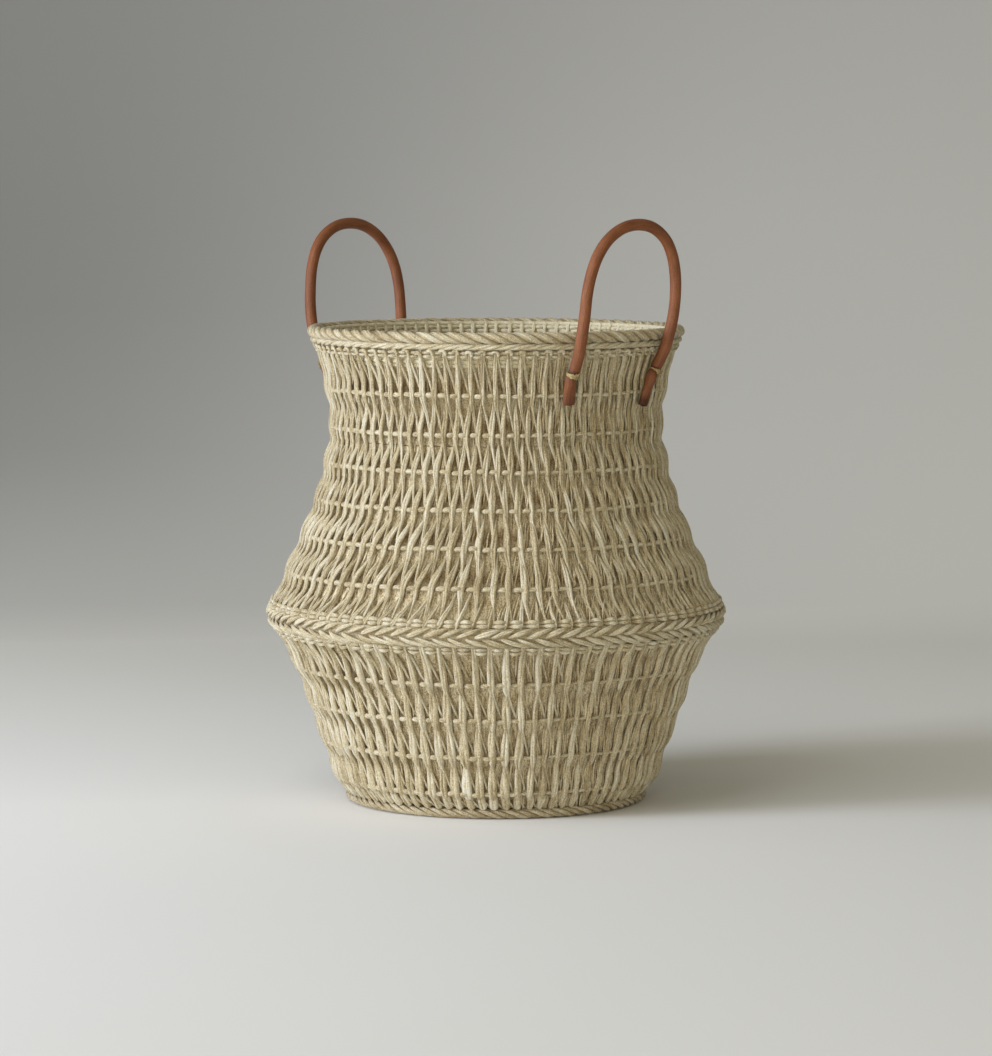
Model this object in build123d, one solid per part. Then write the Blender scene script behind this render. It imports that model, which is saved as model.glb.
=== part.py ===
from build123d import *
import math
import os

# Woven seagrass belly basket with two round leather bow handles.
# Millimetres, +Z up, origin at the centre of the base on the surface it stands on.
# The handles stand near +X and -X.

os.makedirs("parts", exist_ok=True)

# ---------------------------------------------------------------- driving sizes
STRAND_D = 4.4           # strands of the outer weave
WEFT_D = 3.0             # cord that runs round behind the strands at each row
GAP = 0.15               # air between pieces that lie against each other
INNER_T = 1.8            # thickness of the inner woven wall

BELLY_Z = 157.0          # height of the widest line, where the braid runs
NECK_Z = 308.3           # height of the narrowest line
BASE_LOW, BASE_HIGH = 2.0, 6.0
FOOT_R_IN, FOOT_R_OUT, FOOT_H = 117.6, 127.2, 10.0

RIM_R, RIM_TUBE, RIM_Z = 153.9, 5.6, 397.4          # rope-twist rim
UNDER_R, UNDER_TUBE, UNDER_Z = 154.3, 2.6, 389.0    # thin row under the rim
TWINE_R, TWINE_TUBE, TWINE_Z = 153.4, 2.1, 383.8    # twined row under that

LEATHER_D = 9.5          # round leather cord of a handle
HANDLE_DEG = 2.9         # each handle stands this far from the X axis, towards -Y
HINGE_RHO, HINGE_Z = 149.0, 371.0    # line at which both legs of a handle bend, just over their lashings
TAIL_W, TAIL_T = 10.5, 7.0
TAIL_TOP_Z, TAIL_LOW_R = 365.9, 149.0
TAIL_LEN = 23.4
LASH_TOP, LASH_LOW = 0.3, 4.4        # lashing, measured down from the tail's top

# Outer line of the wall, (z, radius), from the rim down to the belly and from there to the foot
UPPER_LINE = [
    (374.4, 151.1), (364.0, 146.9), (352.0, 146.1), (334.0, 141.1), (318.0, 142.6),
    (308.3, 140.8), (291.0, 146.8), (280.0, 146.6), (258.5, 154.9), (249.5, 155.4),
    (229.0, 166.0), (221.0, 167.0), (197.0, 179.7), (187.6, 181.0), (176.6, 188.4),
]
LOWER_LINE = [
    (140.6, 184.4), (132.5, 178.9), (119.5, 174.7), (103.0, 165.9), (89.0, 162.6),
    (74.0, 156.0), (57.5, 151.5), (40.0, 143.7), (29.0, 141.6), (22.6, 139.5), (12.6, 132.4),
]
# Rows where a weft cord lies under the strands
UPPER_ROWS = [348.9, 317.2, 287.9, 257.3, 227.0, 195.4]
LOWER_ROWS = [114.6, 84.2, 52.4, 20.6]


# ---------------------------------------------------------------- helpers
def line_radius(line, z):
    """Radius of an outer line at height z."""
    for (z1, r1), (z2, r2) in zip(line, line[1:]):
        if z2 <= z <= z1:
            return r1 + (r2 - r1) * (z1 - z) / (z1 - z2)
    return line[0][1] if z > line[0][0] else line[-1][1]


def smooth_normal(line, z, span=16.0):
    """Outward normal (radius, z) of the wall's general run at height z."""
    lo, hi = max(z - span, line[-1][0]), min(z + span, line[0][0])
    slope = (line_radius(line, hi) - line_radius(line, lo)) / (hi - lo)
    n = math.hypot(1.0, slope)
    return 1.0 / n, -slope / n


def inset(line, z, depth):
    """Point (z, radius) that lies depth under the outer line at height z."""
    nr, nz = smooth_normal(line, z)
    return z - depth * nz, line_radius(line, z) - depth * nr


def fillet_path(points, share=0.42):
    """Straight runs joined by tangent arcs, each arc as large as its runs allow."""
    vecs = [Vector(*p) for p in points]
    radii = []
    for a, b, c in zip(vecs, vecs[1:], vecs[2:]):
        turn = math.radians((b - a).get_angle(c - b))
        run = min((b - a).length, (c - b).length)
        radii.append(share * run / math.tan(turn / 2))
    return FilletPolyline(*points, radius=radii)


def round_sweep(path, diameter):
    return sweep(Plane(origin=path @ 0, z_dir=path % 0) * Circle(diameter / 2), path=path)


def ring(radius, tube, z):
    return Pos(0, 0, z) * Torus(radius, tube)


def turned(points):
    """Solid of revolution of a closed (radius, z) outline about Z."""
    face = make_face(Polyline(*[(r, 0, z) for r, z in points], close=True))
    return revolve(face, axis=Axis.Z, revolution_arc=360)


def save(name, shapes):
    solids = []
    for s in shapes if isinstance(shapes, list) else [shapes]:
        solids += list(s.solids())
    shape = solids[0] if len(solids) == 1 else Compound(children=solids)
    shape.label = name
    export_step(shape, f"parts/{name}.step")


# ---------------------------------------------------------------- wall: outer weave, weft cords, inner weave
# The outer weave is the layer of crossing strands, one closed skin for each stretch of the wall.
# A weft cord lies behind it at each row and pushes it out, and the inner weave is behind that.
ROW_INSET = STRAND_D + WEFT_D + 0.9
BETWEEN_INSET = STRAND_D + 0.7


def wall_points(line, rows, between):
    pts = [inset(line, z, ROW_INSET) for z in rows] + [inset(line, z, BETWEEN_INSET) for z in between]
    return sorted(pts, reverse=True)


def skin(front, back):
    """Closed solid of revolution between two lists of (z, radius), both top to bottom."""
    return turned([(r, z) for z, r in front] + [(r, z) for z, r in reversed(back)])


def gap_to(line, z, r):
    """Shortest distance from (z, r) to a line of (z, radius)."""
    best = 1e9
    for (z1, r1), (z2, r2) in zip(line, line[1:]):
        dz, dr = z2 - z1, r2 - r1
        t = max(0.0, min(1.0, ((z - z1) * dz + (r - r1) * dr) / (dz * dz + dr * dr)))
        best = min(best, math.hypot(z - z1 - t * dz, r - r1 - t * dr))
    return best


def back_of(line):
    return [inset(line, z, STRAND_D) for z, r in line]


neck_cut = (NECK_Z, line_radius(UPPER_LINE, NECK_Z))
neck_back_cut = (NECK_Z, neck_cut[1] - STRAND_D)
neck_front = [(392.2, 151.1), (379.6, 151.1)] + [p for p in UPPER_LINE if p[0] > NECK_Z + 0.5] + [neck_cut]
neck_back = [(392.2, 148.3), (379.6, 148.2), (371.0, 146.0)] + [
    p for p in back_of(UPPER_LINE) if NECK_Z + 0.5 < p[0] < 366.0] + [neck_back_cut]
shoulder_front = [neck_cut] + [p for p in UPPER_LINE if p[0] < NECK_Z - 0.5]
shoulder_back = [neck_back_cut] + [p for p in back_of(UPPER_LINE) if p[0] < NECK_Z - 0.5]
lower_front = list(LOWER_LINE)
lower_back = back_of(LOWER_LINE)
save("neck_wall_outer", skin(neck_front, neck_back))
save("shoulder_wall_outer", skin(shoulder_front, shoulder_back))
save("lower_wall_outer", skin(lower_front, lower_back))

mid_neck = (NECK_Z, neck_cut[1] - BETWEEN_INSET)
belly_out = (BELLY_Z, 186.4)
neck_line = [(396.5, 147.6), (379.6, 147.2), (370.6, 144.8), (363.5, 141.2)] + [
    p for p in wall_points(UPPER_LINE, [348.9, 317.2], [334.0]) if p[0] > NECK_Z + 1] + [mid_neck]
shoulder_line = [mid_neck] + [p for p in wall_points(
    UPPER_LINE, [287.9, 257.3, 227.0, 195.4], [272.0, 243.0, 212.0, 184.0]) if p[0] < NECK_Z - 1]
shoulder_line += [(172.0, 182.6), belly_out]
lower_line = [belly_out, (144.0, 181.4)] + wall_points(LOWER_LINE, LOWER_ROWS, [134.0, 104.0, 73.0, 38.0])
lower_line += [(10.2, 122.4)]
for name, line in (("neck", neck_line), ("shoulder", shoulder_line), ("lower", lower_line)):
    save(f"{name}_wall_inner", skin(line, [(z, r - INNER_T) for z, r in line]))

number = 0
for line, rows, back, inner in (
        (UPPER_LINE, UPPER_ROWS, neck_back + shoulder_back[1:], neck_line + shoulder_line[1:]),
        (LOWER_LINE, LOWER_ROWS, lower_back, lower_line)):
    for z in rows:
        number += 1
        zc, rc = inset(line, z, STRAND_D + GAP + WEFT_D / 2)
        low, high = rc - 4.0, rc + 4.0
        for _ in range(40):
            rc = (low + high) / 2
            if gap_to(back, zc, rc) > gap_to(inner, zc, rc):
                low = rc
            else:
                high = rc
        print("weft", number, "z", round(zc, 2), "r", round(rc, 2), "clear",
              round(gap_to(back, zc, rc) - WEFT_D / 2, 2), round(gap_to(inner, zc, rc) - WEFT_D / 2, 2))
        save(f"weft_ring_{number:02d}", ring(rc, WEFT_D / 2, zc))

# ---------------------------------------------------------------- belly rows
braid = make_face(Polyline(
    (194.6, 0, 165.6), (195.9, 0, 160.6), (190.6, 0, 148.4), (187.3, 0, 148.4), (188.2, 0, 157.0), (189.4, 0, 165.6),
    close=True))
braid = fillet(braid.vertices(), 1.0)
save("belly_braid", revolve(braid, axis=Axis.Z, revolution_arc=360))
save("belly_twine_upper", ring(189.9, 2.3, 170.9))
save("belly_twine_lower", ring(185.0, 2.3, 144.6))

# ---------------------------------------------------------------- rim rows
save("rim_braid", ring(RIM_R, RIM_TUBE, RIM_Z))
save("rim_under_braid", ring(UNDER_R, UNDER_TUBE, UNDER_Z))
save("rim_twine", ring(TWINE_R, TWINE_TUBE, TWINE_Z))

# ---------------------------------------------------------------- foot and base
foot = make_face(Polyline(
    (FOOT_R_IN + 1.6, 0, 0), (FOOT_R_OUT - 2.2, 0, 0), (FOOT_R_OUT, 0, 3.5),
    (FOOT_R_OUT + 0.6, 0, 8.0), (FOOT_R_OUT - 1.0, 0, FOOT_H), (FOOT_R_IN + 1.6, 0, FOOT_H),
    (FOOT_R_IN, 0, 7.4), (FOOT_R_IN, 0, 2.4), close=True))
foot = fillet(foot.vertices().sort_by(Axis.Z)[2:], 1.0)
save("foot_braid", revolve(foot, axis=Axis.Z, revolution_arc=360))
base = Pos(0, 0, BASE_LOW) * Cylinder(
    FOOT_R_IN - GAP, BASE_HIGH - BASE_LOW, align=(Align.CENTER, Align.CENTER, Align.MIN))
save("base_panel", base)

# ---------------------------------------------------------------- handles
# Line of each bow from one bend over its crown to the other: (along the rim, out from the axis, height).
# They are hand bent, so the two differ a little and neither is quite even.
BOWS = {
    "right": [
        (-50.3, HINGE_RHO, HINGE_Z), (-50.7, 154.6, 383.6), (-52.0, 159.4, 397.8), (-51.5, 162.4, 415.0),
        (-50.6, 164.1, 432.0), (-47.5, 165.6, 448.5), (-41.6, 167.0, 463.6), (-31.4, 168.2, 476.6),
        (-15.4, 168.7, 486.0), (2.0, 168.8, 489.0), (19.4, 168.7, 486.2), (34.2, 168.2, 476.6),
        (43.2, 167.0, 463.6), (48.2, 165.6, 448.5), (50.2, 164.1, 432.0), (49.6, 162.4, 415.0),
        (47.6, 159.5, 398.4), (45.6, 155.0, 384.0), (42.8, HINGE_RHO, HINGE_Z)],
    "left": [
        (-47.5, HINGE_RHO, HINGE_Z), (-50.8, 154.6, 383.6), (-54.2, 159.6, 398.0), (-55.7, 162.2, 415.0),
        (-55.1, 163.8, 432.0), (-51.7, 165.4, 448.2), (-44.6, 166.8, 462.5), (-33.2, 168.0, 474.8),
        (-16.8, 168.6, 483.4), (1.2, 168.7, 486.1), (19.2, 168.6, 483.5), (35.0, 168.0, 475.0),
        (45.6, 166.8, 463.2), (52.2, 165.4, 448.6), (55.7, 163.8, 432.0), (57.5, 162.2, 415.0),
        (57.3, 159.6, 398.0), (55.2, 154.6, 383.6), (52.5, HINGE_RHO, HINGE_Z)],
}
# How far each tail leans along the rim from straight down, in degrees, and how much longer it is
TAIL_TILT = {("right", -1): (5.0, 0.0), ("right", 1): (-16.0, 4.6), ("left", -1): (-4.0, 1.0), ("left", 1): (5.0, 0.5)}


def bow_solid(points):
    path = fillet_path([(rho, u, z) for u, rho, z in points])
    shape = round_sweep(path, LEATHER_D)
    for u, rho, z in (points[0], points[-1]):
        shape = shape + Pos(rho, u, z) * Sphere(LEATHER_D / 2)
    return shape, path.length


def tail_and_lashing(u, tilt, longer):
    """Tail under one leg, flattened against the wall and cut square, and the twine ring that holds it."""
    top_r = math.hypot(HINGE_RHO, u) - 0.7
    top_z = TAIL_TOP_Z - abs(math.sin(math.radians(tilt))) * TAIL_W / 2
    lean = math.degrees(math.asin((top_r - TAIL_LOW_R) / TAIL_LEN))
    place = Pos(top_r, 0, top_z) * Rot(0, lean, 0) * Rot(tilt, 0, 0)
    length = TAIL_LEN + longer
    tail = place * Pos(0, 0, -length) * extrude(RectangleRounded(TAIL_T, TAIL_W, 2.6), amount=length)
    face = RectangleRounded(TAIL_T + 3.2, TAIL_W + 3.0, 3.6) - RectangleRounded(
        TAIL_T + 2 * GAP, TAIL_W + 2 * GAP, 2.6 + GAP)
    lashing = place * Pos(0, 0, -LASH_LOW) * extrude(face, amount=LASH_LOW - LASH_TOP - 0.3)
    turn = Rot(0, 0, math.degrees(math.atan2(u, HINGE_RHO)))
    return turn * tail, turn * lashing


for side_name, angle in (("right", -HANDLE_DEG), ("left", 180 + HANDLE_DEG)):
    turn = Rot(0, 0, angle)
    points = BOWS[side_name]
    bow, bow_length = bow_solid(points)
    save(f"handle_{side_name}_bow", turn * bow)
    print(side_name, "bow path length", round(bow_length, 1))
    for sign, u in ((-1, points[0][0]), (1, points[-1][0])):
        # front is the leg nearer -Y
        leg_name = "front" if (sign < 0) == (side_name == "right") else "back"
        tail, lashing = tail_and_lashing(u, *TAIL_TILT[(side_name, sign)])
        save(f"handle_{side_name}_tail_{leg_name}", turn * tail)
        save(f"handle_{side_name}_lashing_{leg_name}", turn * lashing)

for name, angle in (("right", -HANDLE_DEG), ("left", 180 + HANDLE_DEG)):
    a = math.radians(angle)
    print(name, "hinge pos", [round(v / 1000, 6) for v in (HINGE_RHO * math.cos(a), HINGE_RHO * math.sin(a), HINGE_Z)],
          "axis", [round(-math.sin(a), 6), round(math.cos(a), 6), 0])
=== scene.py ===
import bpy
import math
import numpy as np
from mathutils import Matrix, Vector


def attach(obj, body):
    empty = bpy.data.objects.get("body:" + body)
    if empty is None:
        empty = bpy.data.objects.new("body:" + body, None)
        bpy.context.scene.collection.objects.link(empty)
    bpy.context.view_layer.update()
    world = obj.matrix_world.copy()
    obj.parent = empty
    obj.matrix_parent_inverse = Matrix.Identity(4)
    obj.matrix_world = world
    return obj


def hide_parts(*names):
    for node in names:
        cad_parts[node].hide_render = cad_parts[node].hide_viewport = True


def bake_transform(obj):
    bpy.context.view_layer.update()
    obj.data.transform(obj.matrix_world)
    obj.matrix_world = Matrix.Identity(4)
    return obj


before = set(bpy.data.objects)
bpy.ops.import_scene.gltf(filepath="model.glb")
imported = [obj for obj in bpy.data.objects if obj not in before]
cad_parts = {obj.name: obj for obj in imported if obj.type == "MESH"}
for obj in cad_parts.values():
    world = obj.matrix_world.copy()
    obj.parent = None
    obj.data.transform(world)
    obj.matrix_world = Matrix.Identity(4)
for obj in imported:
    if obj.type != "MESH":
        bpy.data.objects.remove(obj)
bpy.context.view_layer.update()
rng = np.random.default_rng(20481)
TAU = 2 * math.pi
MM = 0.001

# ------------------------------------------------------------------ camera
VIEW_DEG = 44.6
PITCH = math.radians(5.025)
DIST, EYE = 3663.4 * MM, 552.3 * MM
a = math.radians(VIEW_DEG)
cam_data = bpy.data.cameras.new("camera")
cam_data.sensor_width = 36.0
cam_data.lens = 4337.22 * 36.0 / 1056.0
cam_data.clip_start, cam_data.clip_end = 0.1, 60.0
cam = bpy.data.objects.new("camera", cam_data)
bpy.context.scene.collection.objects.link(cam)
cam.location = (DIST * math.sin(a), -DIST * math.cos(a), EYE)
cam.rotation_euler = (math.pi / 2 - PITCH, 0.0, a)
bpy.context.scene.camera = cam

# ------------------------------------------------------------------ wall shape, in millimetres
# Outer envelope of the strands, (height, radius)
PROFILE = np.array([
    (9.0, 128.5), (12.9, 132.6), (16.3, 135.2), (19.7, 138.0), (23.2, 139.6), (30.0, 141.7), (36.9, 142.6),
    (43.8, 145.1), (50.7, 148.9), (57.5, 151.4), (64.4, 153.1), (71.3, 154.8), (78.1, 157.7), (85.0, 161.1),
    (91.8, 163.2), (98.7, 164.4), (105.5, 166.9), (112.4, 171.1), (119.2, 174.5), (126.1, 176.6),
    (132.9, 179.1), (139.8, 183.7), (146.6, 188.6), (153.4, 192.2), (160.3, 193.6), (167.1, 192.6),
    (173.9, 190.0), (180.7, 185.2), (187.6, 181.0), (194.4, 179.7), (201.2, 178.4), (208.0, 175.4),
    (214.8, 170.3), (221.7, 166.9), (228.5, 166.0), (235.3, 163.9), (242.1, 160.1), (248.9, 155.4),
    (255.7, 154.9), (262.5, 153.6), (269.3, 150.7), (276.1, 147.3), (282.9, 146.8), (289.7, 146.8),
    (296.5, 145.1), (303.2, 142.1), (308.3, 140.8), (313.4, 142.1), (320.2, 142.5), (327.0, 142.0),
    (333.8, 141.1), (343.9, 144.5), (350.7, 146.1), (360.8, 146.1), (367.6, 148.2), (374.4, 150.9),
    (381.1, 152.6), (388.0, 154.2), (396.0, 155.0)])
ZS = np.arange(0.0, 405.0, 0.5)
_r = np.interp(ZS, PROFILE[:, 0], PROFILE[:, 1])
_k = np.exp(-0.5 * (np.arange(-16, 17) * 0.5 / 2.0) ** 2)
_k /= _k.sum()
_pad = np.concatenate([np.full(16, _r[0]), _r, np.full(16, _r[-1])])
RS = np.convolve(_pad, _k, mode="valid")
_k2 = np.exp(-0.5 * (np.arange(-48, 49) * 0.5 / 9.0) ** 2)
_k2 /= _k2.sum()
_pad = np.concatenate([np.full(48, RS[0]), RS, np.full(48, RS[-1])])
RS_SMOOTH = np.convolve(_pad, _k2, mode="valid")
SLOPE = np.gradient(RS_SMOOTH, 0.5)


def wall(phi, z, depth):
    """Points in mm at angle phi and height z, depth mm under the envelope, with the outward normal and e_phi."""
    r = np.interp(z, ZS, RS)
    s = np.interp(z, ZS, SLOPE)
    n = np.hypot(1.0, s)
    nr, nz = 1.0 / n, -s / n
    rr, zz = r - depth * nr, z - depth * nz
    c, q = np.cos(phi), np.sin(phi)
    pos = np.stack([rr * c, rr * q, zz], -1)
    nor = np.stack([nr * c, nr * q, nz], -1)
    return pos, nor


# ------------------------------------------------------------------ mesh building
class Bundle:
    """Collects many closed tubes into one mesh, with attributes that its material reads."""

    def __init__(self):
        self.v, self.f, self.fib, self.tone, self.painted_shade = [], [], [], [], []
        self.count = 0

    def tube(self, pos, nor, half_w, half_t, sides=8, tone=0.5, twist=0.0, ridge=0.0, painted_shade=None,
             loop=False, cap=True, seed=None, squash_in=0.0):
        """A tube along pos (mm). half_w lies across the strand in the wall, half_t along nor."""
        pos = np.asarray(pos, float)
        n = len(pos)
        if loop:
            tan = np.roll(pos, -1, 0) - np.roll(pos, 1, 0)
        else:
            tan = np.gradient(pos, axis=0)
        tan /= np.linalg.norm(tan, axis=1, keepdims=True) + 1e-12
        nor = nor - (nor * tan).sum(1, keepdims=True) * tan
        nor /= np.linalg.norm(nor, axis=1, keepdims=True) + 1e-12
        bi = np.cross(tan, nor)
        seg = np.linalg.norm(np.diff(pos, axis=0), axis=1)
        s = np.concatenate([[0.0], np.cumsum(seg)])
        half_w = np.broadcast_to(half_w, n)[:, None]
        half_t = np.broadcast_to(half_t, n)[:, None]
        th = np.arange(sides) * TAU / sides
        seed = rng.uniform(0, 500) if seed is None else seed
        lump = 1.0
        if ridge:
            ph = rng.uniform(0, TAU, 3)
            tw = (s * 0.02)[:, None]
            lump = 1.0 + ridge * (np.sin(3 * th[None] + ph[0] + tw) * 0.6 + np.sin(
                5 * th[None] + ph[1] - tw * 1.7) * 0.5 + np.sin(2 * th[None] + ph[2] + s[:, None] * 0.11) * 0.4)
        cw = np.cos(th)[None] * half_w * lump
        ct = np.sin(th)[None] * half_t * lump
        if squash_in:
            ct = np.where(ct < 0, ct * (1 - squash_in), ct)
        ring = pos[:, None] + bi[:, None] * cw[..., None] + nor[:, None] * ct[..., None]
        fth = th[None] + twist * s[:, None]
        rr = 0.5 * (half_w + half_t)
        fib = np.stack([np.cos(fth) * rr + seed, np.sin(fth) * rr + seed * 0.7, np.broadcast_to(s[:, None], fth.shape)
                        + seed * 3.1], -1)
        base = self.count
        idx = base + np.arange(n * sides).reshape(n, sides)
        rows = n if loop else n - 1
        i0 = idx[:rows]
        i1 = np.roll(idx, -1, 0)[:rows]
        quads = np.stack([i0, np.roll(i0, -1, 1), np.roll(i1, -1, 1), i1], -1).reshape(-1, 4)
        verts, fibs = ring.reshape(-1, 3), fib.reshape(-1, 3)
        tones = np.broadcast_to(np.asarray(tone, float).reshape(-1, 1) if np.ndim(tone) else tone,
                                (n, sides)).reshape(-1)
        painted_shade_pts = np.broadcast_to(0.0 if painted_shade is None else np.asarray(painted_shade, float).reshape(-1, 1),
                                (n, sides)).reshape(-1)
        faces = [quads]
        if not loop and cap:
            ends = np.stack([pos[0] - tan[0] * half_t[0] * 0.35, pos[-1] + tan[-1] * half_t[-1] * 0.35])
            e0, e1 = base + n * sides, base + n * sides + 1
            t0 = np.stack([idx[0], np.full(sides, e0), np.roll(idx[0], -1), np.roll(idx[0], -1)], -1)[:, :3]
            t1 = np.stack([idx[-1], np.roll(idx[-1], -1), np.full(sides, e1)], -1)
            t0 = t0[:, [0, 1, 2]]
            self.f.append(("t", t0))
            self.f.append(("t", t1))
            verts = np.concatenate([verts, ends])
            fibs = np.concatenate([fibs, fib[[0, -1], 0]])
            tones = np.concatenate([tones, tones[[0, -1]]])
            painted_shade_pts = np.concatenate([painted_shade_pts, painted_shade_pts[[0, -1]]])
        self.f.append(("q", faces[0][:, ::-1]))
        self.v.append(verts)
        self.fib.append(fibs)
        self.tone.append(tones)
        self.painted_shade.append(painted_shade_pts)
        self.count += len(verts)

    def grid(self, pos, closed_u=True, tone=None, painted_shade=None, fib=None, flip=False):
        """A surface from pos[rows, columns], closed round its columns."""
        rows, cols = pos.shape[:2]
        base = self.count
        idx = base + np.arange(rows * cols).reshape(rows, cols)
        i0, i1 = idx[:-1], idx[1:]
        quads = np.stack([i0, np.roll(i0, -1, 1), np.roll(i1, -1, 1), i1], -1)
        if not closed_u:
            quads = quads[:, :-1]
        quads = quads.reshape(-1, 4)
        if flip:
            quads = quads[:, ::-1]
        self.f.append(("q", quads))
        self.v.append(pos.reshape(-1, 3))
        self.fib.append(fib.reshape(-1, 3))
        self.tone.append(np.broadcast_to(tone, (rows, cols)).reshape(-1))
        self.painted_shade.append(np.broadcast_to(painted_shade, (rows, cols)).reshape(-1))
        self.count += rows * cols

    def build(self, name, material, nodes=(), slot="seagrass", body="basket"):
        v = np.concatenate(self.v) * MM
        tris = [f for k, f in self.f if k == "t"]
        quads = [f for k, f in self.f if k == "q"]
        loops, starts, totals = [], [], []
        at = 0
        for group, size in ((quads, 4), (tris, 3)):
            if group:
                g = np.concatenate(group).astype(np.int32)
                loops.append(g.reshape(-1))
                starts.append(at + np.arange(len(g)) * size)
                totals.append(np.full(len(g), size))
                at += len(g) * size
        me = bpy.data.meshes.new(name)
        loops, starts, totals = np.concatenate(loops), np.concatenate(starts), np.concatenate(totals)
        me.vertices.add(len(v))
        me.vertices.foreach_set("co", v.astype(np.float32).reshape(-1))
        me.loops.add(len(loops))
        me.loops.foreach_set("vertex_index", loops.astype(np.int32))
        me.polygons.add(len(starts))
        me.polygons.foreach_set("loop_start", starts.astype(np.int32))
        me.polygons.foreach_set("loop_total", totals.astype(np.int32))
        me.update(calc_edges=True)
        me.validate()
        me.polygons.foreach_set("use_smooth", np.ones(len(me.polygons), bool))
        # the third attribute is the painted shade value that the materials read
        for key, kind, data in (("fib", "FLOAT_VECTOR", np.concatenate(self.fib)),
                                ("tone", "FLOAT", np.concatenate(self.tone)),
                                ("painted_shade", "FLOAT", np.concatenate(self.painted_shade))):
            at = me.attributes.new(key, kind, "POINT")
            at.data.foreach_set("vector" if kind == "FLOAT_VECTOR" else "value",
                                data.astype(np.float32).reshape(-1))
        me.materials.append(material)
        ob = bpy.data.objects.new(name, me)
        bpy.context.scene.collection.objects.link(ob)
        if body:
            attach(ob, body)
        if nodes:
            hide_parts(*nodes)
        print("piece", name, len(me.polygons))
        return ob


# ------------------------------------------------------------------ materials
def new_material(name):
    m = bpy.data.materials.new(name)
    m.use_nodes = True
    nt = m.node_tree
    for n in list(nt.nodes):
        nt.nodes.remove(n)
    out = nt.nodes.new("ShaderNodeOutputMaterial")
    bsdf = nt.nodes.new("ShaderNodeBsdfPrincipled")
    nt.links.new(bsdf.outputs["BSDF"], out.inputs["Surface"])
    return m, nt, bsdf


def node(nt, kind, **props):
    n = nt.nodes.new(kind)
    for k, v in props.items():
        setattr(n, k, v)
    return n


def ramp(nt, stops, fac):
    n = nt.nodes.new("ShaderNodeValToRGB")
    e = n.color_ramp.elements
    while len(e) < len(stops):
        e.new(0.5)
    for el, (p, c) in zip(e, stops):
        el.position = p
        el.color = (*c, 1.0)
    nt.links.new(fac, n.inputs["Fac"])
    return n.outputs["Color"]


def maths(nt, op, x, y=None, clamp=False):
    n = nt.nodes.new("ShaderNodeMath")
    n.operation = op
    n.use_clamp = clamp
    for i, v in enumerate((x, y)):
        if v is None:
            continue
        if isinstance(v, (int, float)):
            n.inputs[i].default_value = v
        else:
            nt.links.new(v, n.inputs[i])
    return n.outputs[0]


def mix(nt, fac, x, y, mode="MIX"):
    n = nt.nodes.new("ShaderNodeMix")
    n.data_type = "RGBA"
    n.blend_type = mode
    for sock, v in ((n.inputs[0], fac), (n.inputs[6], x), (n.inputs[7], y)):
        if isinstance(v, (int, float)):
            sock.default_value = v
        elif isinstance(v, tuple):
            sock.default_value = (*v, 1.0)
        else:
            nt.links.new(v, sock)
    return n.outputs[2]


def noise(nt, vector, scale, detail=2.0, rough=0.55, distortion=0.0):
    n = nt.nodes.new("ShaderNodeTexNoise")
    n.inputs["Scale"].default_value = scale
    n.inputs["Detail"].default_value = detail
    n.inputs["Roughness"].default_value = rough
    n.inputs["Distortion"].default_value = distortion
    nt.links.new(vector, n.inputs["Vector"])
    return n.outputs["Fac"]


def scaled(nt, vector, sx, sy, sz):
    n = nt.nodes.new("ShaderNodeMapping")
    n.inputs["Scale"].default_value = (sx, sy, sz)
    nt.links.new(vector, n.inputs["Vector"])
    return n.outputs["Vector"]


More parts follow.
